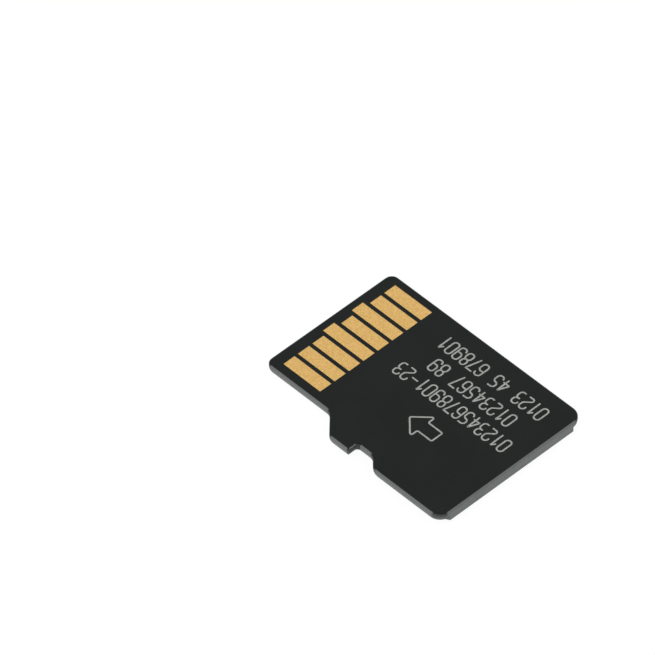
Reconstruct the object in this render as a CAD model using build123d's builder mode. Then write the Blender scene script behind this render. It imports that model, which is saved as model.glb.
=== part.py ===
from build123d import *
from math import atan, degrees
import os

# Memory card of the smallest common removable format, in millimetres. It lies with its contacts up.
# +Y points to the contact end, +X to the straight side, and the notch is at -X.
# The origin is under the middle of the card, at the height of the finger lip's crest.

# Outline, seen from above: lengths along the card are measured from the contact end
card_width = 11.0
card_length = 15.0
shoulder_end = 6.4
shoulder_step = 1.3
notch_wall = 7.9
notch_floor = 1.2
notch_depth = 0.7
corner_radius = 0.8
end_corner_radius = 0.5
notch_corner_radius = 0.15
edge_radius = 0.1
label_edge_radius = 0.45

# Thickness, and the finger lip on the underside: its lengths are measured from the rear edge
card_thickness = 0.7
lip_height = 0.3
lip_bevel = 0.52
lip_crest_end = 1.5
lip_foot = 1.84
lip_from_side = 0.8
lip_front_radius = 30.0
lip_edge_radius = 0.06

# Layers of the circuit board, from the contact face inwards
contact_mask_thickness = 0.035
contact_foil = 0.018
contact_plating = 0.007
core_thickness = 0.18
inner_foil = 0.015
inner_mask_thickness = 0.02

# Contacts: the row's margins are measured from the straight side and from the stepped side beside it,
# and lengths from the contact end
contact_count = 8
contact_gap = 0.25
contact_from_side = 0.525
contact_from_step = 0.625
contact_rear = 3.7
contact_front = 0.8
long_contact_front = 0.5
foil_margin = 0.05
trace_width = 0.07
via_diameter = 0.12
via_land = 0.2
via_sides = 8
via_row = 1.15

# Flash memory dies: two of a kind, stepped so that the pads of the lower one stay free
flash_from_side = 0.5
flash_from_notched_side = 2.2
flash_from_rear = 1.0
flash_from_end = 4.4
flash_thickness = 0.08
film_thickness = 0.02
stair_step = 0.5

# Controller die on top of them, set in from their left and front edges
controller_width = 4.4
controller_length = 2.6
controller_thickness = 0.07
controller_inset = 0.6

# Bond wires, and the fingers of copper that they end on
wire_diameter = 0.025
wire_sides = 6
loop_height = 0.06
loop_overhang = 0.05
pad_inset = 0.12
finger_gap = 0.3
finger_length = 0.3
finger_width = 0.1
opening_margin = 0.06
flash_line_count = 12
flash_line_margin = 0.85
bus_pitch = 0.16
bus_inset = 0.2

# Ceramic capacitors, in a row between the dies and the contact end
capacitor_count = 4
capacitor_length = 0.6
capacitor_width = 0.3
capacitor_height = 0.3
capacitor_end = 0.15
capacitor_end_step = 0.01
capacitor_pitch = 1.9
capacitor_row = 2.0
solder_height = 0.02
solder_toe = 0.08

# Places of the outline
side_x = card_width / 2
notched_x = -card_width / 2
narrow_x = notched_x + shoulder_step
notch_floor_x = notched_x + notch_depth
end_y = card_length / 2
rear_y = -card_length / 2
shoulder_outer_y = end_y - shoulder_end
shoulder_inner_y = shoulder_outer_y + shoulder_step
notch_wall_y = end_y - notch_wall
notch_floor_end_y = notch_wall_y - notch_floor
notch_end_y = notch_floor_end_y - notch_depth

# Heights of the layers, from the underside up: each die's height is that of its free face
label_z = lip_height
contact_z = label_z + card_thickness
board_top_z = contact_z - contact_mask_thickness
board_under_z = board_top_z - core_thickness
finger_z = board_under_z - inner_foil
inner_mask_z = board_under_z - inner_mask_thickness
lower_flash_z = inner_mask_z - film_thickness - flash_thickness
upper_flash_z = lower_flash_z - film_thickness - flash_thickness
controller_z = upper_flash_z - film_thickness - controller_thickness
capacitor_top_z = finger_z - solder_height

# Sizes and places of the dies
flash_width = card_width - flash_from_side - flash_from_notched_side
flash_length = card_length - flash_from_rear - flash_from_end
flash_left_x = notched_x + flash_from_notched_side
flash_x = flash_left_x + flash_width / 2
lower_flash_rear_y = rear_y + flash_from_rear
lower_flash_y = lower_flash_rear_y + flash_length / 2
upper_flash_rear_y = lower_flash_rear_y + stair_step
upper_flash_y = lower_flash_y + stair_step
upper_flash_front_y = upper_flash_y + flash_length / 2
controller_left_x = flash_left_x + controller_inset
controller_x = controller_left_x + controller_width / 2
controller_front_y = upper_flash_front_y - controller_inset
controller_y = controller_front_y - controller_length / 2
controller_rear_y = controller_front_y - controller_length

# Pitches: the contacts share the width between their margins, and the flash dies' lines share the die
contact_row_width = side_x - contact_from_side - narrow_x - contact_from_step
contact_row_x = side_x - contact_from_side - contact_row_width / 2
contact_pitch = (contact_row_width + contact_gap) / contact_count
contact_width = contact_pitch - contact_gap
host_pitch = contact_pitch / 2
flash_line_pitch = (flash_width - 2 * flash_line_margin) / (flash_line_count - 1)


# Rows of contacts, vias, bond fingers and capacitors
def row(middle, count, pitch):
    return [middle + (n - (count - 1) / 2) * pitch for n in range(count)]


contact_xs = row(contact_row_x, contact_count, contact_pitch)
contact_fronts = [contact_front] * contact_count
contact_fronts[3] = long_contact_front
contact_fronts[5] = long_contact_front
host_xs = row(controller_x, contact_count, host_pitch)
flash_line_xs = row(flash_x, flash_line_count, flash_line_pitch)
bus_ys = [controller_rear_y + bus_inset + n * bus_pitch for n in range(flash_line_count)]
capacitor_xs = row(contact_row_x, capacitor_count, capacitor_pitch)
contact_rear_y = end_y - contact_rear
via_y = contact_rear_y - via_row
host_finger_y = upper_flash_front_y + finger_gap + finger_length / 2
flash_finger_y = lower_flash_rear_y - finger_gap - finger_length / 2
bus_finger_x = flash_left_x - finger_gap - finger_length / 2
capacitor_y = end_y - capacitor_row

os.makedirs("parts", exist_ok=True)


def write(part, name):
    part.label = name
    export_step(part, f"parts/{name}.step")


# The whole card as one block, which the layers are cut from. Its corners are listed from the straight
# side's rear corner round by the contact end, each with the radius of its rounding.
corners = [
    (side_x, rear_y, corner_radius),
    (side_x, end_y, end_corner_radius),
    (narrow_x, end_y, end_corner_radius),
    (narrow_x, shoulder_inner_y, corner_radius),
    (notched_x, shoulder_outer_y, end_corner_radius),
    (notched_x, notch_wall_y, notch_corner_radius),
    (notch_floor_x, notch_wall_y, notch_corner_radius),
    (notch_floor_x, notch_floor_end_y, corner_radius),
    (notched_x, notch_end_y, corner_radius),
    (notched_x, rear_y, corner_radius),
]
corner_places = [(x, y) for x, y, radius in corners]
corner_radii = [radius for x, y, radius in corners]

with BuildSketch(Plane.XY.offset(label_z)) as outline:
    with BuildLine():
        FilletPolyline(*corner_places, radius=corner_radii, close=True)
    make_face()

# The block is rounded on its label side all round while the sharp corner beside the notch stands. Then
# that corner is cut to the outline, and the edge of the contact side is eased.
with BuildPart() as card:
    with BuildSketch(Plane.XY.offset(label_z)) as blank:
        with BuildLine():
            Polyline(*corner_places, close=True)
        make_face()
        for x, y, radius in corners[:5] + corners[6:]:
            corner = blank.vertices().sort_by_distance((x, y, label_z))[0]
            fillet(corner, radius=radius)
    extrude(amount=card_thickness)
    fillet(card.faces().sort_by(Axis.Z)[0].edges(), radius=label_edge_radius)
    extrude(outline.sketch, amount=card_thickness, mode=Mode.INTERSECT)
    fillet(card.faces().sort_by(Axis.Z)[-1].edges(), radius=edge_radius)

# The finger lip across the rear of the underside: a bevel up from the rear edge, a flat crest, and
# a front slope that follows a wide arc. It ends short of both sides, and its root reaches up to where
# the card's rear wall stands straight.
with BuildPart() as lip:
    with BuildSketch(Plane.XY.offset(label_z)) as lip_disc:
        with Locations((0, rear_y + lip_foot - lip_front_radius)):
            Circle(lip_front_radius)
    extrude(amount=-lip_height, taper=degrees(atan((lip_foot - lip_crest_end) / lip_height)))
    extrude(lip_disc.sketch, amount=label_edge_radius)
    with BuildSketch(Plane.YZ):
        with BuildLine():
            Polyline(
                (rear_y, label_z + label_edge_radius),
                (rear_y, label_z),
                (rear_y + lip_bevel, 0),
                (rear_y + lip_foot, 0),
                (rear_y + lip_foot, label_z + label_edge_radius),
                close=True,
            )
        make_face()
    extrude(amount=side_x - lip_from_side, both=True, mode=Mode.INTERSECT)
    fillet(lip.faces().sort_by(Axis.Z)[0].edges(), radius=lip_edge_radius)

# The contacts: pads of copper foil whose edges lie under the mask, plated with gold where they show,
# each with a trace that leads under the mask to its via. The fourth and the sixth from the notched side,
# for power and ground, reach further forward.
contacts = []
for number, (contact_x, front, via_x) in enumerate(zip(contact_xs, contact_fronts, host_xs), start=1):
    opening_length = contact_rear - front
    contact_y = contact_rear_y + opening_length / 2
    foil_rear_y = contact_rear_y - foil_margin
    with BuildPart() as contact:
        with BuildSketch(Plane.XY.offset(board_top_z)):
            with Locations((contact_x, contact_y)):
                Rectangle(contact_width + 2 * foil_margin, opening_length + 2 * foil_margin)
            with BuildLine():
                Polyline((contact_x, contact_y), (contact_x, foil_rear_y - trace_width), (via_x, via_y))
            trace(line_width=trace_width)
            with Locations((via_x, via_y)):
                RegularPolygon(via_land / 2, via_sides, major_radius=False)
        extrude(amount=contact_foil)
        with BuildSketch(Plane.XY.offset(board_top_z + contact_foil)):
            with Locations((contact_x, contact_y)):
                Rectangle(contact_width, opening_length)
        extrude(amount=contact_plating)
    write(contact.part, f"contact_{number}")
    contacts.append(contact.part)

# The solder mask over the contact side, open over each contact
with BuildPart() as contact_mask:
    add(card.part)
    split(bisect_by=Plane.XY.offset(board_top_z), keep=Keep.TOP)
    with BuildSketch(Plane.XY.offset(contact_z)):
        for contact_x, front in zip(contact_xs, contact_fronts):
            with Locations((contact_x, end_y - (contact_rear + front) / 2)):
                Rectangle(contact_width, contact_rear - front)
    extrude(amount=-contact_mask_thickness, mode=Mode.SUBTRACT)
    add(contacts, mode=Mode.SUBTRACT)
write(contact_mask.part, "contact_mask")

# The laminate core of the board, drilled for the vias
with BuildPart() as board_core:
    add(card.part)
    split(bisect_by=Plane.XY.offset(board_top_z), keep=Keep.BOTTOM)
    split(bisect_by=Plane.XY.offset(board_under_z), keep=Keep.TOP)
    with BuildSketch(Plane.XY.offset(board_under_z)) as via_plugs:
        for x in host_xs:
            with Locations((x, via_y)):
                RegularPolygon(via_diameter / 2, via_sides, major_radius=False)
    extrude(amount=core_thickness, mode=Mode.SUBTRACT)
write(board_core.part, "board_core")

# The vias: plugs of plated copper that join the foils of both sides
with BuildPart() as vias:
    with BuildSketch(Plane.XY.offset(board_under_z)):
        add(via_plugs.sketch_local)
    extrude(amount=core_thickness)
write(vias.part, "vias")

# The inner foil: via lands with their fingers for the controller, lines from the flash dies' fingers
# under the dies to the controller's other row of fingers, and the lands of the capacitors
capacitor_reach = capacitor_length / 2 + capacitor_end_step
capacitor_land_length = capacitor_end + capacitor_end_step + solder_toe
capacitor_land_offset = capacitor_reach + solder_toe - capacitor_land_length / 2
capacitor_land_width = capacitor_width + 2 * capacitor_end_step
with BuildPart() as inner_copper:
    with BuildSketch(Plane.XY.offset(finger_z)):
        for x in host_xs:
            with Locations((x, via_y)):
                RegularPolygon(via_land / 2, via_sides, major_radius=False)
            with BuildLine():
                Line((x, via_y), (x, host_finger_y))
            trace(line_width=trace_width)
            with Locations((x, host_finger_y)):
                Rectangle(finger_width, finger_length)
        for x, y in zip(flash_line_xs, bus_ys):
            with Locations((x, flash_finger_y)):
                Rectangle(finger_width, finger_length)
            with BuildLine():
                Polyline((x, flash_finger_y), (x, y), (bus_finger_x, y))
            trace(line_width=trace_width)
            with Locations((bus_finger_x, y)):
                Rectangle(finger_length, finger_width)
        for x in capacitor_xs:
            for side in (-1, 1):
                with Locations((x + side * capacitor_land_offset, capacitor_y)):
                    Rectangle(capacitor_land_length, capacitor_land_width)
    extrude(amount=inner_foil)
write(inner_copper.part, "inner_copper")

# The solder mask of the inner side, open over the fingers and the capacitor lands
with BuildPart() as inner_mask:
    add(card.part)
    split(bisect_by=Plane.XY.offset(board_under_z), keep=Keep.BOTTOM)
    split(bisect_by=Plane.XY.offset(inner_mask_z), keep=Keep.TOP)
    with BuildSketch(Plane.XY.offset(inner_mask_z)):
        with Locations((controller_x, host_finger_y)):
            Rectangle(
                host_xs[-1] - host_xs[0] + finger_width + 2 * opening_margin,
                finger_length + 2 * opening_margin,
            )
        with Locations((flash_x, flash_finger_y)):
            Rectangle(
                flash_line_xs[-1] - flash_line_xs[0] + finger_width + 2 * opening_margin,
                finger_length + 2 * opening_margin,
            )
        with Locations((bus_finger_x, (bus_ys[0] + bus_ys[-1]) / 2)):
            Rectangle(
                finger_length + 2 * opening_margin,
                bus_ys[-1] - bus_ys[0] + finger_width + 2 * opening_margin,
            )
        for x in capacitor_xs:
            with Locations((x, capacitor_y)):
                Rectangle(
                    2 * capacitor_land_offset + capacitor_land_length + 2 * opening_margin,
                    capacitor_land_width + 2 * opening_margin,
                )
    extrude(amount=inner_mask_thickness, mode=Mode.SUBTRACT)
    add(inner_copper.part, mode=Mode.SUBTRACT)
write(inner_mask.part, "inner_mask")


# The dies: thin plates of silicon, each glued down with a film of its own size
def die(name, x, y, free_z, width, length, thickness):
    with BuildPart() as plate:
        with BuildSketch(Plane.XY.offset(free_z)):
            with Locations((x, y)):
                Rectangle(width, length)
        extrude(amount=thickness)
    write(plate.part, name)
    return plate.part


stack = [
    die(
        "flash_die_lower",
        flash_x,
        lower_flash_y,
        lower_flash_z,
        flash_width,
        flash_length,
        flash_thickness,
    ),
    die(
        "flash_die_upper",
        flash_x,
        upper_flash_y,
        upper_flash_z,
        flash_width,
        flash_length,
        flash_thickness,
    ),
    die(
        "controller_die",
        controller_x,
        controller_y,
        controller_z,
        controller_width,
        controller_length,
        controller_thickness,
    ),
    die(
        "flash_film_lower",
        flash_x,
        lower_flash_y,
        lower_flash_z + flash_thickness,
        flash_width,
        flash_length,
        film_thickness,
    ),
    die(
        "flash_film_upper",
        flash_x,
        upper_flash_y,
        upper_flash_z + flash_thickness,
        flash_width,
        flash_length,
        film_thickness,
    ),
    die(
        "controller_film",
        controller_x,
        controller_y,
        controller_z + controller_thickness,
        controller_width,
        controller_length,
        film_thickness,
    ),
]


# Bond wires: each rises from its pad, runs level past the edge of the die and slopes to where it ends
def bond_wire(pad, landing, edge_distance, free_z, landing_z):
    start = Vector(*pad, free_z)
    level = start - Vector(0, 0, loop_height)
    heading = (Vector(*landing, free_z) - start).normalized()
    turn = level + heading * (edge_distance + loop_overhang)
    landed = Vector(*landing, landing_z)
    beyond = landed + (landed - turn).normalized() * wire_diameter
    with BuildLine() as path:
        Polyline(start, level, turn, beyond)
    with BuildSketch(Plane(start, x_dir=heading, z_dir=(0, 0, -1))) as section:
        RegularPolygon(wire_diameter / 2, wire_sides, major_radius=False)
    sweep(section.sketch, path.line, transition=Transition.RIGHT)


lower_ball_y = lower_flash_rear_y + pad_inset
lower_stitch_y = lower_ball_y + pad_inset
upper_ball_y = upper_flash_rear_y + pad_inset

with BuildPart() as lower_flash_wires:
    for x in flash_line_xs:
        bond_wire((x, lower_ball_y), (x, flash_finger_y), pad_inset, lower_flash_z, finger_z)
    split(bisect_by=Plane.XY.offset(finger_z), keep=Keep.BOTTOM)
write(lower_flash_wires.part, "lower_flash_wires")

with BuildPart() as upper_flash_wires:
    for x in flash_line_xs:
        bond_wire((x, upper_ball_y), (x, lower_stitch_y), pad_inset, upper_flash_z, lower_flash_z)
    split(bisect_by=Plane.XY.offset(lower_flash_z), keep=Keep.BOTTOM)
write(upper_flash_wires.part, "upper_flash_wires")

with BuildPart() as bus_wires:
    for y in bus_ys:
        bond_wire(
            (controller_left_x + pad_inset, y),
            (bus_finger_x, y),
            controller_inset + pad_inset,
            controller_z,
            finger_z,
        )
    split(bisect_by=Plane.XY.offset(finger_z), keep=Keep.BOTTOM)
write(bus_wires.part, "bus_wires")

with BuildPart() as host_wires:
    for x in host_xs:
        bond_wire(
            (x, controller_front_y - pad_inset),
            (x, host_finger_y),
            controller_inset + pad_inset,
            controller_z,
            finger_z,
        )
    split(bisect_by=Plane.XY.offset(finger_z), keep=Keep.BOTTOM)
write(host_wires.part, "host_wires")

# The capacitors: fired ceramic blocks with a metal end at each side, a little proud of the ceramic
capacitors = []
for number, x in enumerate(capacitor_xs, start=1):
    with BuildPart() as capacitor:
        with BuildSketch(Plane.XY.offset(capacitor_top_z)):
            with Locations((x, capacitor_y)):
                Rectangle(capacitor_length, capacitor_width)
        extrude(amount=-capacitor_height)
        for side in (-1, 1):
            end_x = x + side * (capacitor_reach - capacitor_end / 2)
            with BuildSketch(Plane.XY.offset(capacitor_top_z)):
                with Locations((end_x, capacitor_y)):
                    Rectangle(capacitor_end, capacitor_width + 2 * capacitor_end_step)
            extrude(amount=-capacitor_height - capacitor_end_step)
    write(capacitor.part, f"capacitor_{number}")
    capacitors.append(capacitor.part)

# Solder between each land and the capacitor's end, with a toe that climbs to half its height
with BuildPart() as solder:
    for x in capacitor_xs:
        for side in (-1, 1):
            inner_x = x + side * (capacitor_reach - capacitor_end)
            outer_x = x + side * capacitor_reach
            with BuildSketch(Plane.XZ.offset(-capacitor_y)):
                with BuildLine():
                    Polyline(
                        (inner_x, finger_z),
                        (outer_x + side * solder_toe, finger_z),
                        (outer_x, capacitor_top_z - capacitor_height / 2),
                        (outer_x, capacitor_top_z),
                        (inner_x, capacitor_top_z),
                        close=True,
                    )
                make_face()
            extrude(amount=capacitor_land_width / 2, both=True)
write(solder.part, "capacitor_solder")

# The moulded body: black epoxy pressed round everything on the board's inner side, with the lip
with BuildPart() as moulded_body:
    add(card.part)
    add(lip.part)
    split(bisect_by=Plane.XY.offset(board_under_z), keep=Keep.BOTTOM)
    add(inner_mask.part, mode=Mode.SUBTRACT)
    add(inner_copper.part, mode=Mode.SUBTRACT)
    add(stack, mode=Mode.SUBTRACT)
    add(capacitors, mode=Mode.SUBTRACT)
    add(solder.part, mode=Mode.SUBTRACT)
    for wires in (lower_flash_wires, upper_flash_wires, bus_wires, host_wires):
        add(wires.part, mode=Mode.SUBTRACT)
write(moulded_body.part, "moulded_body")
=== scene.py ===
import bpy
import math
from mathutils import Matrix, Vector


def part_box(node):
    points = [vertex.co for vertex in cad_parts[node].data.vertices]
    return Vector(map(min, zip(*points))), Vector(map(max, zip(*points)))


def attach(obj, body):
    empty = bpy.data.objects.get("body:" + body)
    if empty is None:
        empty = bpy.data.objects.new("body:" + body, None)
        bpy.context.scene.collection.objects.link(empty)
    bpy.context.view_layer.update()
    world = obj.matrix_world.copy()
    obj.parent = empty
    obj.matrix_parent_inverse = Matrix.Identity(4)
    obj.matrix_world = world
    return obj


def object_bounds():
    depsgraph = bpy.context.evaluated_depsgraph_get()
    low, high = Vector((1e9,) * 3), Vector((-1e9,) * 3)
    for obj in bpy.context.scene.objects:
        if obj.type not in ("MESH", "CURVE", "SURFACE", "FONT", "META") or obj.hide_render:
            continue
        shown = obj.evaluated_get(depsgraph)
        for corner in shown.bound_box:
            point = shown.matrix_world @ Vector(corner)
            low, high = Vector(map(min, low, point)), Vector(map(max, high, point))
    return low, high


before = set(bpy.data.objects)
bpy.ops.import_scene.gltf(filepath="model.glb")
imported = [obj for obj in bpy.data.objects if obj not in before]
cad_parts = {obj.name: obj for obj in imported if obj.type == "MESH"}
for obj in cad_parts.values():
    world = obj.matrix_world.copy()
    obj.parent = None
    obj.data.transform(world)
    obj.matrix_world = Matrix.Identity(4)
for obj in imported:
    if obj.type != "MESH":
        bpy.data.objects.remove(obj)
cad_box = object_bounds()
card_low, card_high = cad_box


# The laminate core of the circuit board: woven glass in dark resin, pressed as a sheet, drilled for
# the vias and cut out with the card. Only its cut edge shows, as a band near the top of the wall.
# On straight walls, and partly lower down elsewhere, the light glass weave is a painted reflection;
# corners and slants stay dark, and the notch's short wall is dark as painted shade.
laminate_resin = (0.125, 0.132, 0.127, 1)
laminate_fibre = (0.225, 0.229, 0.216, 1)
laminate_shade_dark = (0.022, 0.022, 0.019, 1)
ply_thickness = 60e-6
ply_contrast = 0.12
fibre_width = 14e-6
fibre_stretch = (0.35, 0.35, 1.0)
fibre_spread = (0.45, 0.72)


def set_input(tree, socket, value):
    if isinstance(value, bpy.types.NodeSocket):
        tree.links.new(value, socket)
    else:
        socket.default_value = value


def new_group(name, inputs, outputs):
    group = bpy.data.node_groups.new(name, "ShaderNodeTree")
    for socket, value in inputs:
        added = group.interface.new_socket(socket, in_out="INPUT", socket_type="NodeSocketFloat")
        added.default_value = value
    for socket in outputs:
        group.interface.new_socket(socket, in_out="OUTPUT", socket_type="NodeSocketFloat")
    return group, group.nodes.new("NodeGroupInput"), group.nodes.new("NodeGroupOutput")


def use_group(tree, group, **values):
    node = tree.nodes.new("ShaderNodeGroup")
    node.node_tree = group
    for socket, value in values.items():
        node.inputs[socket.replace("_", " ").title()].default_value = value
    return node


def calculate(tree, operation, *values):
    node = tree.nodes.new("ShaderNodeMath")
    node.operation = operation
    for socket, value in zip(node.inputs, values):
        set_input(tree, socket, value)
    return node.outputs[0]


def ramp(tree, value, start, end, low=0.0, high=1.0):
    node = tree.nodes.new("ShaderNodeMapRange")
    node.interpolation_type = "SMOOTHSTEP"
    for socket, setting in zip(node.inputs, (value, start, end, low, high)):
        set_input(tree, socket, setting)
    return node.outputs[0]


def wave(tree, value, length):
    return calculate(tree, "SINE", calculate(tree, "MULTIPLY", value, 2 * math.pi / length))


def noise(tree, place, size, detail=2.0):
    node = tree.nodes.new("ShaderNodeTexNoise")
    scale = calculate(tree, "DIVIDE", 1.0, size) if isinstance(size, bpy.types.NodeSocket) else 1 / size
    set_input(tree, node.inputs["Vector"], place)
    set_input(tree, node.inputs["Scale"], scale)
    set_input(tree, node.inputs["Detail"], detail)
    return node.outputs[0]


def object_place(tree, stretch=None):
    place = tree.nodes.new("ShaderNodeTexCoord").outputs["Object"]
    if stretch is None:
        return place
    mapping = tree.nodes.new("ShaderNodeMapping")
    set_input(tree, mapping.inputs["Vector"], place)
    set_input(tree, mapping.inputs["Scale"], stretch)
    return mapping.outputs[0]


def split(tree, vector):
    node = tree.nodes.new("ShaderNodeSeparateXYZ")
    set_input(tree, node.inputs[0], vector)
    return node.outputs


# In a Mix node the share is input 0, the two colours are inputs 6 and 7, and their blend is output 2
def blend_colours(tree, share, first, second):
    node = tree.nodes.new("ShaderNodeMix")
    node.data_type = "RGBA"
    for number, value in ((0, share), (6, first), (7, second)):
        set_input(tree, node.inputs[number], value)
    return node.outputs[2]


def new_finish(name, roughness=0.5, metallic=0.0, specular=0.5):
    material = bpy.data.materials.new(name)
    material.use_nodes = True
    shader = material.node_tree.nodes["Principled BSDF"]
    shader.inputs["Roughness"].default_value = roughness
    shader.inputs["Metallic"].default_value = metallic
    shader.inputs["Specular IOR Level"].default_value = specular
    return material, material.node_tree, shader


def tint(tree, shader, share, first, second):
    tree.links.new(blend_colours(tree, share, first, second), shader.inputs["Base Color"])


def relief(tree, shader, height, depth):
    bump = tree.nodes.new("ShaderNodeBump")
    bump.inputs["Strength"].default_value = 1.0
    bump.inputs["Distance"].default_value = depth
    tree.links.new(height, bump.inputs["Height"])
    tree.links.new(bump.outputs[0], shader.inputs["Normal"])


def paint(material, *names):
    for name in names:
        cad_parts[name].material_slots[0].material = material


# The cut wall round the card. Mask is where it leans from level. The painted reflection is full where
# it runs straight along or across the card and elsewhere grows towards the label side; the notch's
# short wall gets none, as painted shade. Lines are the fine upright lines that the cutter leaves.
straight_enough = (0.945, 0.998)
least_outward = 1e-4
# The painted reflection fades in over this height below the top, up to this share
reflection_fade_z = (card_high.z, card_high.z - 0.4e-3)
reflection_fade_share = 0.62
notch_wall_x = card_low.x + 0.8e-3
notch_wall_y = (card_high.y - 8.1e-3, card_high.y - 7.885e-3)
saw_line_width = 3.5e-5
saw_line_stretch = (1.0, 1.0, 0.06)

cut_group, cut_in, cut_out = new_group(
    "cut_wall",
    (("Line Width", saw_line_width), ("Lean Start", 0.4), ("Lean End", 0.8)),
    ("Mask", "Painted Reflection", "Lines"),
)
normal = cut_group.nodes.new("ShaderNodeNewGeometry").outputs["Normal"]
across, along, up = (calculate(cut_group, "ABSOLUTE", part) for part in split(cut_group, normal))
lean = calculate(cut_group, "SUBTRACT", 1.0, up)
cut_mask = ramp(cut_group, lean, cut_in.outputs["Lean Start"], cut_in.outputs["Lean End"])
cut_group.links.new(cut_mask, cut_out.inputs["Mask"])

along_squared = calculate(cut_group, "MULTIPLY", along, along)
outward = calculate(cut_group, "SQRT", calculate(cut_group, "MULTIPLY_ADD", across, across, along_squared))
straight = calculate(
    cut_group,
    "DIVIDE",
    calculate(cut_group, "MAXIMUM", across, along),
    calculate(cut_group, "MAXIMUM", outward, least_outward),
)
place_x, place_y, place_z = split(cut_group, object_place(cut_group))
# The notch's short wall gets painted shade: no reflection at all
notch_wall_shade = calculate(cut_group, "LESS_THAN", place_x, notch_wall_x)
for comparison, limit in (("GREATER_THAN", notch_wall_y[0]), ("LESS_THAN", notch_wall_y[1])):
    within = calculate(cut_group, comparison, place_y, limit)
    notch_wall_shade = calculate(cut_group, "MULTIPLY", notch_wall_shade, within)
# Painted reflection: full on straight walls, partly lower down elsewhere, none on the notch's short wall
painted_reflection = calculate(
    cut_group,
    "MAXIMUM",
    ramp(cut_group, straight, *straight_enough),
    ramp(cut_group, place_z, *reflection_fade_z, 0.0, reflection_fade_share),
)
painted_reflection = calculate(cut_group, "MULTIPLY", painted_reflection, calculate(cut_group, "SUBTRACT", 1.0, notch_wall_shade))
cut_group.links.new(painted_reflection, cut_out.inputs["Painted Reflection"])

cut_lines = noise(cut_group, object_place(cut_group, saw_line_stretch), cut_in.outputs["Line Width"])
cut_group.links.new(cut_lines, cut_out.inputs["Lines"])

material, tree, shader = new_finish("laminate_edge", roughness=0.62)
cut = use_group(tree, cut_group, line_width=saw_line_width, lean_start=0.4, lean_end=0.8)
ply = wave(tree, split(tree, object_place(tree))["Z"], ply_thickness)
fibre = noise(tree, object_place(tree, fibre_stretch), fibre_width, detail=1.0)
fibre_share = ramp(tree, calculate(tree, "MULTIPLY_ADD", ply, ply_contrast, fibre), *fibre_spread)
glass = blend_colours(tree, fibre_share, laminate_resin, laminate_fibre)
# Painted reflection: the light glass weave where the wall runs straight, the dark colour elsewhere
tint(tree, shader, cut.outputs["Painted Reflection"], laminate_shade_dark, glass)
relief(tree, shader, fibre, depth=1.5e-6)
paint(material, "board_core")


# The copper inside the board: etched inner foil with its bond fingers, and the plated vias that join
# it to the contacts. Etching leaves it finely mottled.
copper_dark = (0.60, 0.25, 0.13, 1)
copper_light = (0.80, 0.40, 0.24, 1)

# A surface's grain: Shade is the grain with wider patches in it, and Height is the grain alone
grain_spread = (0.3, 0.7)
grain_group, grain_in, grain_out = new_group(
    "fine_grain",
    (("Grain Size", 2e-5), ("Patch Size", 1e-3), ("Patch Share", 0.4)),
    ("Shade", "Height"),
)
grain_fine = noise(grain_group, object_place(grain_group), grain_in.outputs["Grain Size"])
grain_patch = noise(grain_group, object_place(grain_group), grain_in.outputs["Patch Size"])
grain_mixed = calculate(
    grain_group,
    "MULTIPLY_ADD",
    calculate(grain_group, "SUBTRACT", grain_patch, grain_fine),
    grain_in.outputs["Patch Share"],
    grain_fine,
)
grain_group.links.new(ramp(grain_group, grain_mixed, *grain_spread), grain_out.inputs["Shade"])
grain_group.links.new(grain_fine, grain_out.inputs["Height"])

material, tree, shader = new_finish("etched_copper", roughness=0.38, metallic=1.0)
grain = use_group(tree, grain_group, grain_size=1.2e-5, patch_size=4e-4, patch_share=0.5)
tint(tree, shader, grain.outputs["Shade"], copper_dark, copper_light)
relief(tree, shader, grain.outputs["Height"], depth=6e-7)
paint(material, "inner_copper", "vias")


# The inner solder mask: green lacquer over the inner foil, open over the fingers and lands. It is cut
# through with the card, so its edge shows on the wall as a hairline, dulled by the cut and lit by a
# painted reflection where the wall runs straight, and dark elsewhere.
green_deep = (0.010, 0.085, 0.034, 1)
green_thin = (0.022, 0.150, 0.060, 1)
green_shade_dark = (0.012, 0.026, 0.016, 1)
green_cut_sheen_dark = (0.080, 0.112, 0.092, 1)
green_cut_sheen_light = (0.130, 0.160, 0.140, 1)

material, tree, shader = new_finish("green_lacquer", roughness=0.3)
grain = use_group(tree, grain_group, grain_size=6e-5, patch_size=1.6e-3, patch_share=0.8)
cut = use_group(tree, cut_group, line_width=saw_line_width, lean_start=0.4, lean_end=0.8)
lacquer = blend_colours(tree, grain.outputs["Shade"], green_deep, green_thin)
cut_sheen = blend_colours(tree, cut.outputs["Lines"], green_cut_sheen_dark, green_cut_sheen_light)
# Painted reflection on straight walls; the dark colour elsewhere, as painted shade on the notch's short
# wall
cut_sheen = blend_colours(tree, cut.outputs["Painted Reflection"], green_shade_dark, cut_sheen)
tint(tree, shader, cut.outputs["Mask"], lacquer, cut_sheen)
relief(tree, shader, grain.outputs["Height"], depth=1e-6)
paint(material, "inner_mask")


# The eight contacts: copper foil plated with nickel and a thin hard gold, matt and fine-grained from
# the plating bath, with faint lines where a socket's springs have wiped along them.
gold_low = (0.598, 0.370, 0.111, 1)
gold_high = (0.785, 0.518, 0.194, 1)
gold_wiped = (0.860, 0.610, 0.270, 1)
gold_roughness = (0.36, 0.52)
wipe_width = 2.2e-5
wipe_stretch = (1.0, 0.03, 1.0)
wipe_spread = (0.62, 0.78)
wipe_strength = 0.55
wiped_patch_size = 9e-4
wiped_patch_spread = (0.5, 0.62)

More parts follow.
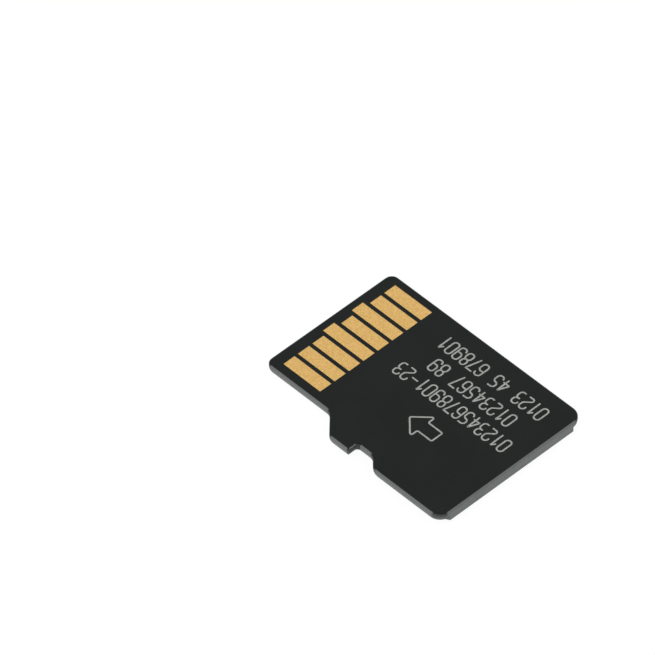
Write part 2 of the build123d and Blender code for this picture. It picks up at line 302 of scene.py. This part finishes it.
material, tree, shader = new_finish("gold_plating", metallic=1.0)
grain = use_group(tree, grain_group, grain_size=8e-5, patch_size=2e-4, patch_share=0.2)
plated = blend_colours(tree, grain.outputs["Shade"], gold_low, gold_high)
wipe = noise(tree, object_place(tree, wipe_stretch), wipe_width, detail=1.0)
wiped_patch = noise(tree, object_place(tree), wiped_patch_size, detail=1.0)
wipe_share = calculate(
    tree,
    "MULTIPLY",
    ramp(tree, wipe, *wipe_spread, 0.0, wipe_strength),
    ramp(tree, wiped_patch, *wiped_patch_spread),
)
tint(tree, shader, wipe_share, plated, gold_wiped)
unevenness = ramp(tree, grain.outputs["Height"], *grain_spread, *gold_roughness)
tree.links.new(unevenness, shader.inputs["Roughness"])
relief(tree, shader, grain.outputs["Height"], depth=2.2e-6)
paint(material, *[f"contact_{number}" for number in range(1, 9)])


# The solder mask of the contact side: a black lacquer with a slight green cast, cured satin and
# smooth, which leaves the contacts open. The straight edges are eased after the cut, and grey there:
# partly the bared cut, partly a painted reflection.
mask_black = (0.0044, 0.0074, 0.0062, 1)
mask_lifted = (0.0074, 0.0112, 0.0098, 1)
mask_cut_sheen_dark = (0.125, 0.134, 0.133, 1)
mask_cut_sheen_light = (0.205, 0.217, 0.216, 1)
mask_roughness = (0.32, 0.42)

material, tree, shader = new_finish("black_lacquer", specular=0.13)
grain = use_group(tree, grain_group, grain_size=2.4e-5, patch_size=2.2e-3, patch_share=0.6)
cut = use_group(tree, cut_group, line_width=saw_line_width, lean_start=0.01, lean_end=0.07)
lacquer = blend_colours(tree, grain.outputs["Shade"], mask_black, mask_lifted)
cut_sheen = blend_colours(tree, cut.outputs["Lines"], mask_cut_sheen_dark, mask_cut_sheen_light)
# Painted reflection: grey on straight edges; elsewhere, and as painted shade on the notch's short wall,
# the black
cut_sheen = blend_colours(tree, cut.outputs["Painted Reflection"], lacquer, cut_sheen)
tint(tree, shader, cut.outputs["Mask"], lacquer, cut_sheen)
unevenness = ramp(tree, grain.outputs["Height"], *grain_spread, *mask_roughness)
tree.links.new(unevenness, shader.inputs["Roughness"])
relief(tree, shader, grain.outputs["Height"], depth=5e-7)
paint(material, "contact_mask")


# The dies: thinned silicon, dark and polished, glued to the board and to each other. The flash
# memory's free face shows its planes of cells as a faint grid, and the controller's a finer one.
flash_blue = (0.060, 0.075, 0.120, 1)
flash_violet = (0.085, 0.070, 0.125, 1)
flash_cell = (1.9e-3, 2.3e-3)
controller_rose = (0.110, 0.085, 0.100, 1)
controller_green = (0.075, 0.105, 0.095, 1)
controller_cell = (3.7e-4, 2.9e-4)
silicon_street = (0.090, 0.082, 0.078, 1)
street_share = 0.025
silicon_roughness = (0.12, 0.24)

for name, nodes, first_colour, second_colour, cell in (
    ("flash_die", ("flash_die_lower", "flash_die_upper"), flash_blue, flash_violet, flash_cell),
    ("controller_die", ("controller_die",), controller_rose, controller_green, controller_cell),
):
    material, tree, shader = new_finish(f"{name}_silicon", specular=0.8)
    cells = tree.nodes.new("ShaderNodeTexBrick")
    cells.offset = 0.0
    for socket, value in (
        ("Vector", object_place(tree)),
        ("Color1", first_colour),
        ("Color2", second_colour),
        ("Mortar", silicon_street),
        ("Scale", 1.0),
        ("Brick Width", cell[0]),
        ("Row Height", cell[1]),
        ("Mortar Size", cell[0] * street_share),
    ):
        set_input(tree, cells.inputs[socket], value)
    tree.links.new(cells.outputs["Color"], shader.inputs["Base Color"])
    grain = use_group(tree, grain_group, grain_size=5e-5, patch_size=2e-3, patch_share=0.7)
    unevenness = ramp(tree, grain.outputs["Shade"], 0.0, 1.0, *silicon_roughness)
    tree.links.new(unevenness, shader.inputs["Roughness"])
    paint(material, *nodes)


# The adhesive films that the dies sit on: cured, slightly cloudy tan resin. A film is laid on the
# wafer's back and sawn with it, so it has its die's own size.
film_clear = (0.46, 0.39, 0.27, 1)
film_cloudy = (0.62, 0.55, 0.42, 1)

material, tree, shader = new_finish("die_attach_film", roughness=0.48)
grain = use_group(tree, grain_group, grain_size=4e-5, patch_size=7e-4, patch_share=0.6)
tint(tree, shader, grain.outputs["Shade"], film_clear, film_cloudy)
paint(material, "flash_film_lower", "flash_film_upper", "controller_film")


# The bond wires: drawn gold, bright and only faintly uneven in tone, welded at both ends to the
# dies and the board's fingers.
wire_low = (0.70, 0.43, 0.13, 1)
wire_high = (0.88, 0.60, 0.22, 1)

material, tree, shader = new_finish("drawn_gold_wire", roughness=0.24, metallic=1.0)
grain = use_group(tree, grain_group, grain_size=8e-6, patch_size=1.5e-4, patch_share=0.5)
tint(tree, shader, grain.outputs["Shade"], wire_low, wire_high)
paint(material, "lower_flash_wires", "upper_flash_wires", "bus_wires", "host_wires")


# The capacitors: fired brown ceramic, fine-grained, with tinned metal ends, and the dull solder that
# holds them by those ends to their lands.
ceramic_dark = (0.30, 0.20, 0.12, 1)
ceramic_light = (0.46, 0.33, 0.21, 1)
tin_dark = (0.52, 0.52, 0.53, 1)
tin_light = (0.72, 0.72, 0.73, 1)
tinned_length = 1.6e-4

for number in range(1, 5):
    low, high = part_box(f"capacitor_{number}")
    middle_x = (low.x + high.x) / 2
    ceramic_half = (high.x - low.x) / 2 - tinned_length
    material, tree, shader = new_finish(f"capacitor_{number}_finish", roughness=0.42)
    grain = use_group(tree, grain_group, grain_size=1.2e-5, patch_size=1.5e-4, patch_share=0.4)
    place_x = split(tree, object_place(tree))["X"]
    off_middle = calculate(tree, "ABSOLUTE", calculate(tree, "SUBTRACT", place_x, middle_x))
    tinned = calculate(tree, "GREATER_THAN", off_middle, ceramic_half)
    ceramic = blend_colours(tree, grain.outputs["Shade"], ceramic_dark, ceramic_light)
    tin = blend_colours(tree, grain.outputs["Shade"], tin_dark, tin_light)
    tint(tree, shader, tinned, ceramic, tin)
    tree.links.new(tinned, shader.inputs["Metallic"])
    relief(tree, shader, grain.outputs["Height"], depth=6e-7)
    paint(material, f"capacitor_{number}")

material, tree, shader = new_finish("reflowed_solder", roughness=0.34, metallic=1.0)
grain = use_group(tree, grain_group, grain_size=2e-5, patch_size=1.2e-4, patch_share=0.5)
tint(tree, shader, grain.outputs["Shade"], tin_dark, tin_light)
relief(tree, shader, grain.outputs["Height"], depth=1e-6)
paint(material, "capacitor_solder")


# The moulded body: black epoxy filled with fine silica, pressed over the board. The mould leaves its
# face and lip satin black. The saw bares the filler along the straight sides, which are greyer, partly
# from a painted reflection; elsewhere the wall is dark, with painted shade on the notch's short wall.
epoxy_black = (0.0160, 0.0175, 0.0170, 1)
epoxy_lifted = (0.0260, 0.0280, 0.0270, 1)
epoxy_shade_dark = (0.0240, 0.0260, 0.0250, 1)
epoxy_cut_sheen_dark = (0.136, 0.146, 0.148, 1)
epoxy_cut_sheen_light = (0.212, 0.226, 0.229, 1)
epoxy_roughness = (0.46, 0.58)

material, tree, shader = new_finish("black_moulding_epoxy", specular=0.4)
grain = use_group(tree, grain_group, grain_size=1.8e-5, patch_size=1.4e-3, patch_share=0.45)
cut = use_group(tree, cut_group, line_width=saw_line_width, lean_start=0.12, lean_end=0.5)
moulded = blend_colours(tree, grain.outputs["Shade"], epoxy_black, epoxy_lifted)
streaks = calculate(tree, "ADD", grain.outputs["Shade"], cut.outputs["Lines"])
mean_streaks = calculate(tree, "MULTIPLY", streaks, 0.5)
cut_sheen = blend_colours(tree, mean_streaks, epoxy_cut_sheen_dark, epoxy_cut_sheen_light)
# Painted reflection: grey on straight walls; the dark colour elsewhere, as painted shade on the notch's
# short wall
cut_sheen = blend_colours(tree, cut.outputs["Painted Reflection"], epoxy_shade_dark, cut_sheen)
tint(tree, shader, cut.outputs["Mask"], moulded, cut_sheen)
unevenness = ramp(tree, cut.outputs["Mask"], 0.0, 1.0, *epoxy_roughness)
tree.links.new(unevenness, shader.inputs["Roughness"])
relief(tree, shader, grain.outputs["Height"], depth=1.2e-6)
paint(material, "moulded_body")


# The marks: a laser runs over the black lacquer and foams it to a light grey track. Plain counting
# numbers stand in three rows, with an outlined arrow beside them that points to the contact end.
track_width = 0.102e-3
track_rise = 1.2e-6
track_sink = 4e-6
track_drop = 1.5e-7
round_bend = 0.19e-3
sharp_bend = 0.02e-3
arrow_bend = 0.09e-3
bend_points = 6
end_disc_sides = 16
end_disc_share = 0.88
character_width = 0.40e-3
character_height = 0.98e-3
character_pitch = 0.577e-3
mark_grey_dark = (0.352, 0.352, 0.334, 1)
mark_grey_light = (0.572, 0.572, 0.544, 1)
pulse_pitch = 4.5e-5
pulse_contrast = 0.18

# Each row's characters, the place of its middle line across the card, and its start along the card
mark_rows = (
    ("012345678901-23", 0.775e-3, -6.29e-3),
    ("01234567 89", 2.31e-3, -5.14e-3),
    ("0123 45 678901", 3.87e-3, -6.03e-3),
)

# Strokes of each character on a cell one wide and one high: points, whether closed, whether round
strokes = {
    "0": [([(0, 0), (1, 0), (1, 1), (0, 1)], True, True)],
    "1": [([(0.12, 0.76), (0.55, 1), (0.55, 0)], False, False)],
    "2": [([(0, 0.76), (0, 1), (1, 1), (1, 0.56), (0, 0.2), (0, 0), (1, 0)], False, True)],
    "3": [([(0, 0.8), (0, 1), (1, 1), (1, 0.53), (0.35, 0.53)], False, True),
          ([(0.35, 0.53), (1, 0.53), (1, 0), (0, 0), (0, 0.2)], False, True)],
    "4": [([(0.76, 0), (0.76, 1), (0, 0.28), (1, 0.28)], False, False)],
    "5": [([(0.96, 1), (0.06, 1), (0.06, 0.57), (1, 0.57), (1, 0), (0, 0), (0, 0.2)], False, True)],
    "6": [([(1, 0.82), (1, 1), (0, 1), (0, 0), (1, 0), (1, 0.57), (0.05, 0.57)], False, True)],
    "7": [([(0, 1), (1, 1), (0.34, 0)], False, False)],
    "8": [([(0.06, 0.53), (0.94, 0.53), (0.94, 1), (0.06, 1)], True, True),
          ([(0, 0), (1, 0), (1, 0.53), (0, 0.53)], True, True)],
    "9": [([(0, 0.18), (0, 0), (1, 0), (1, 1), (0, 1), (0, 0.43), (0.95, 0.43)], False, True)],
    "-": [([(0.05, 0.5), (0.95, 0.5)], False, False)],
}

# Each point lies a hair lower than the one before, so that tracks pass under each other where they cross
mask_face_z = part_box("contact_mask")[1].z
chains = []
for text, middle_x, start_y in mark_rows:
    for column, character in enumerate(text):
        cell_y = start_y + column * character_pitch
        placed = 0
        for points, closed, rounded in strokes.get(character, []):
            chain = [
                (
                    middle_x + (0.5 - up) * character_height,
                    cell_y + across * character_width,
                    mask_face_z - (placed + step) * track_drop,
                )
                for step, (across, up) in enumerate(points)
            ]
            chains.append((chain, closed, round_bend if rounded else sharp_bend))
            placed += len(points)

# The arrow, in millimetres across and along the card from its middle: from its tail to its tip and back
arrow_x = -1.385e-3
arrow_y = -2.035e-3
arrow_half = [(0.42, -1.05), (0.42, 0.05), (0.98, 0.05), (0, 1.08)]
arrow_points = arrow_half + [(-across, along) for across, along in reversed(arrow_half[:-1])]
arrow = [(arrow_x + across * 1e-3, arrow_y + along * 1e-3, mask_face_z) for across, along in arrow_points]
chains.append((arrow, True, arrow_bend))

points, edges, bends = [], [], []
for chain, closed, bend in chains:
    first = len(points)
    points += chain
    bends += [bend] * len(chain)
    edges += [(first + step, first + step + 1) for step in range(len(chain) - 1)]
    if closed:
        edges.append((first + len(chain) - 1, first))
path_mesh = bpy.data.meshes.new("mark_paths")
path_mesh.from_pydata(points, edges, [])
path_mesh.attributes.new("bend", "FLOAT", "POINT").data.foreach_set("value", bends)
marks = bpy.data.objects.new("laser_marks", path_mesh)
bpy.context.scene.collection.objects.link(marks)

material, tree, shader = new_finish("laser_foamed_lacquer", roughness=0.72, specular=0.35)
grain = use_group(tree, grain_group, grain_size=1.6e-5, patch_size=1.5e-4, patch_share=0.5)
track_length = tree.nodes.new("ShaderNodeAttribute")
track_length.attribute_name = "along"
pulse = wave(tree, track_length.outputs["Fac"], pulse_pitch)
foam = calculate(tree, "MULTIPLY_ADD", pulse, pulse_contrast, grain.outputs["Shade"])
tint(tree, shader, ramp(tree, foam, 0.0, 1.0), mark_grey_dark, mark_grey_light)
relief(tree, shader, foam, depth=1.5e-6)

# Each path gets its bends, then a flat track along it. An open track's ends are rounded by discs, a
# little thinner than the track, which covers their inner halves.
track_tree = bpy.data.node_groups.new("laser_track", "GeometryNodeTree")
for socket, kind in (
    ("Paths", "NodeSocketGeometry"),
    ("Track Width", "NodeSocketFloat"),
    ("Track Rise", "NodeSocketFloat"),
    ("Track Sink", "NodeSocketFloat"),
    ("Finish", "NodeSocketMaterial"),
):
    track_tree.interface.new_socket(socket, in_out="INPUT", socket_type=kind)
track_tree.interface.new_socket("Tracks", in_out="OUTPUT", socket_type="NodeSocketGeometry")
track_in = track_tree.nodes.new("NodeGroupInput")
track_out = track_tree.nodes.new("NodeGroupOutput")


def add_step(kind, mode=None, output=0, **sockets):
    node = track_tree.nodes.new(kind)
    if mode:
        node.mode = mode
    for socket, value in sockets.items():
        set_input(track_tree, node.inputs[socket.replace("_", " ").title()], value)
    return node.outputs[output]


path = add_step("GeometryNodeMeshToCurve", mesh=track_in.outputs["Paths"])
path = add_step(
    "GeometryNodeFilletCurve",
    mode="POLY",
    curve=path,
    radius=add_step("GeometryNodeInputNamedAttribute", name="bend"),
    count=bend_points,
    limit_radius=True,
)
path = add_step("GeometryNodeSetCurveNormal", mode="Z_UP", curve=path)
measured_path = add_step(
    "GeometryNodeStoreNamedAttribute",
    geometry=path,
    name="along",
    value=add_step("GeometryNodeSplineParameter", output="Length"),
)
thickness = calculate(track_tree, "ADD", track_in.outputs["Track Rise"], track_in.outputs["Track Sink"])
section = add_step(
    "GeometryNodeCurvePrimitiveQuadrilateral",
    width=track_in.outputs["Track Width"],
    height=thickness,
)
track = add_step("GeometryNodeCurveToMesh", curve=measured_path, profile_curve=section, fill_caps=True)
end_disc = add_step(
    "GeometryNodeMeshCylinder",
    vertices=end_disc_sides,
    radius=calculate(track_tree, "MULTIPLY", track_in.outputs["Track Width"], 0.5),
    depth=calculate(track_tree, "MULTIPLY", thickness, end_disc_share),
)
open_end = track_tree.nodes.new("FunctionNodeBooleanMath")
open_end.operation = "NIMPLY"
set_input(track_tree, open_end.inputs[0], add_step("GeometryNodeCurveEndpointSelection"))
set_input(track_tree, open_end.inputs[1], add_step("GeometryNodeInputSplineCyclic"))
end_discs = add_step(
    "GeometryNodeInstanceOnPoints",
    points=path,
    selection=open_end.outputs[0],
    instance=end_disc,
)
joined = track_tree.nodes.new("GeometryNodeJoinGeometry")
for part in (track, end_discs):
    track_tree.links.new(part, joined.inputs[0])
proud = calculate(track_tree, "SUBTRACT", track_in.outputs["Track Rise"], track_in.outputs["Track Sink"])
lifted = add_step(
    "GeometryNodeTransform",
    geometry=joined.outputs[0],
    translation=add_step("ShaderNodeCombineXYZ", z=calculate(track_tree, "MULTIPLY", proud, 0.5)),
)
solid_tracks = add_step("GeometryNodeRealizeInstances", geometry=lifted)
finish = track_in.outputs["Finish"]
finished_tracks = add_step("GeometryNodeSetMaterial", geometry=solid_tracks, material=finish)
track_tree.links.new(finished_tracks, track_out.inputs["Tracks"])

runner = marks.modifiers.new("laser_track", "NODES")
runner.node_group = track_tree
for socket, value in (
    ("Track Width", track_width),
    ("Track Rise", track_rise),
    ("Track Sink", track_sink),
    ("Finish", material),
):
    runner[track_tree.interface.items_tree[socket].identifier] = value
bpy.context.view_layer.update()
evaluated = marks.evaluated_get(bpy.context.evaluated_depsgraph_get())
finished_marks = bpy.data.meshes.new_from_object(evaluated)
marks.modifiers.remove(runner)
marks.data = finished_marks
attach(marks, "root")


# The floor: a plain white sheet. The memory card lies on the crest of its finger lip and the lower
# edge of its contact end, so the floor passes through both. To the camera and in mirror rays the
# sheet glows white round the card's shadow, and a camera below it looks through it.
crest_y = card_low.y + 1.47e-3
contact_end_y = card_high.y - 0.44e-3
contact_end_z = 0.3e-3
floor_half = 0.9
floor_grey = (0.8, 0.8, 0.8, 1)
floor_seen_grey = (0.12, 0.12, 0.12, 1)
floor_glow = 0.93


def seen_or_mirrored(tree, ray):
    mirrored = calculate(tree, "MAXIMUM", ray["Is Glossy Ray"], ray["Is Transmission Ray"])
    return calculate(tree, "MAXIMUM", ray["Is Camera Ray"], mirrored)


def mix_shaders(tree, share, first, second):
    node = tree.nodes.new("ShaderNodeMixShader")
    for socket, value in zip(node.inputs, (share, first, second)):
        set_input(tree, socket, value)
    return node.outputs[0]


slope = math.atan2(contact_end_z, contact_end_y - crest_y)
floor_corners = [
    (
        across * floor_half,
        crest_y + along * floor_half * math.cos(slope),
        along * floor_half * math.sin(slope),
    )
    for across, along in ((-1, -1), (1, -1), (1, 1), (-1, 1))
]
floor_mesh = bpy.data.meshes.new("floor")
floor_mesh.from_pydata(floor_corners, [], [(0, 1, 2, 3)])
floor = bpy.data.objects.new("floor", floor_mesh)
bpy.context.scene.collection.objects.link(floor)

material = bpy.data.materials.new("white_floor")
material.use_nodes = True
tree = material.node_tree
tree.nodes.remove(tree.nodes["Principled BSDF"])
ray = tree.nodes.new("ShaderNodeLightPath").outputs
lit = tree.nodes.new("ShaderNodeBsdfDiffuse")
lit.inputs["Color"].default_value = floor_grey
shown = tree.nodes.new("ShaderNodeBsdfDiffuse")
shown.inputs["Color"].default_value = floor_seen_grey
glow = tree.nodes.new("ShaderNodeEmission")
glow.inputs["Strength"].default_value = floor_glow
white = tree.nodes.new("ShaderNodeAddShader")
tree.links.new(shown.outputs[0], white.inputs[0])
tree.links.new(glow.outputs[0], white.inputs[1])
by_ray = mix_shaders(tree, seen_or_mirrored(tree, ray), lit.outputs[0], white.outputs[0])
backfacing = tree.nodes.new("ShaderNodeNewGeometry").outputs["Backfacing"]
from_below = calculate(tree, "MULTIPLY", backfacing, ray["Is Camera Ray"])
clear = tree.nodes.new("ShaderNodeBsdfTransparent")
whole = mix_shaders(tree, from_below, by_ray, clear.outputs[0])
tree.links.new(whole, tree.nodes["Material Output"].inputs["Surface"])
floor_mesh.materials.append(material)


# The studio: an even pale surround, a large soft lamp from the notched side and a weaker one from
# the rear. The surround shows white to the camera and in reflections.
surround_light = 0.55
lamp_size = 0.26
lamps = (
    ("side_lamp", (-0.30, -0.02, 0.20), 0.42),
    ("rear_lamp", (-0.04, -0.32, 0.24), 0.16),
)

world = bpy.data.worlds.new("pale_surround")
bpy.context.scene.world = world
world.use_nodes = True
tree = world.node_tree
background = tree.nodes["Background"]
background.inputs["Color"].default_value = (1, 1, 1, 1)
seen = seen_or_mirrored(tree, tree.nodes.new("ShaderNodeLightPath").outputs)
tree.links.new(ramp(tree, seen, 0.0, 1.0, surround_light, 1.0), background.inputs["Strength"])

for name, place, power in lamps:
    lamp = bpy.data.lights.new(name, "AREA")
    lamp.size = lamp_size
    lamp.energy = power
    stand = bpy.data.objects.new(name, lamp)
    stand.location = place
    stand.rotation_euler = (-Vector(place)).to_track_quat("-Z", "Y").to_euler()
    bpy.context.scene.collection.objects.link(stand)


# The camera: a long lens that looks down, at about 45 degrees, on the notched side and the rear edge.
# It aims at the middle of the contact end, so the card lies below and to the right in the view.
camera_azimuth = math.radians(-43.7015)
camera_elevation = math.radians(46.5357)
camera_roll = math.radians(-0.4083)
camera_distance = 0.5793575
camera_aim = Vector((0.0575978e-3, 6.985321e-3, 1.0e-3))
camera_lens = 579.6934
camera_sensor = 36
camera_clip = (0.05, 5)

camera_data = bpy.data.cameras.new("camera")
camera_data.lens = camera_lens
camera_data.sensor_width = camera_sensor
camera_data.clip_start, camera_data.clip_end = camera_clip
camera = bpy.data.objects.new("camera", camera_data)
back = Vector((
    math.sin(camera_azimuth) * math.cos(camera_elevation),
    -math.cos(camera_azimuth) * math.cos(camera_elevation),
    math.sin(camera_elevation),
))
level_view = (-back).to_track_quat("-Z", "Y")
camera.location = camera_aim + back * camera_distance
camera.rotation_mode = "QUATERNION"
camera.rotation_quaternion = level_view @ Matrix.Rotation(camera_roll, 4, "Z").to_quaternion()
bpy.context.scene.collection.objects.link(camera)
bpy.context.scene.camera = camera
bpy.context.scene.view_settings.view_transform = "Standard"
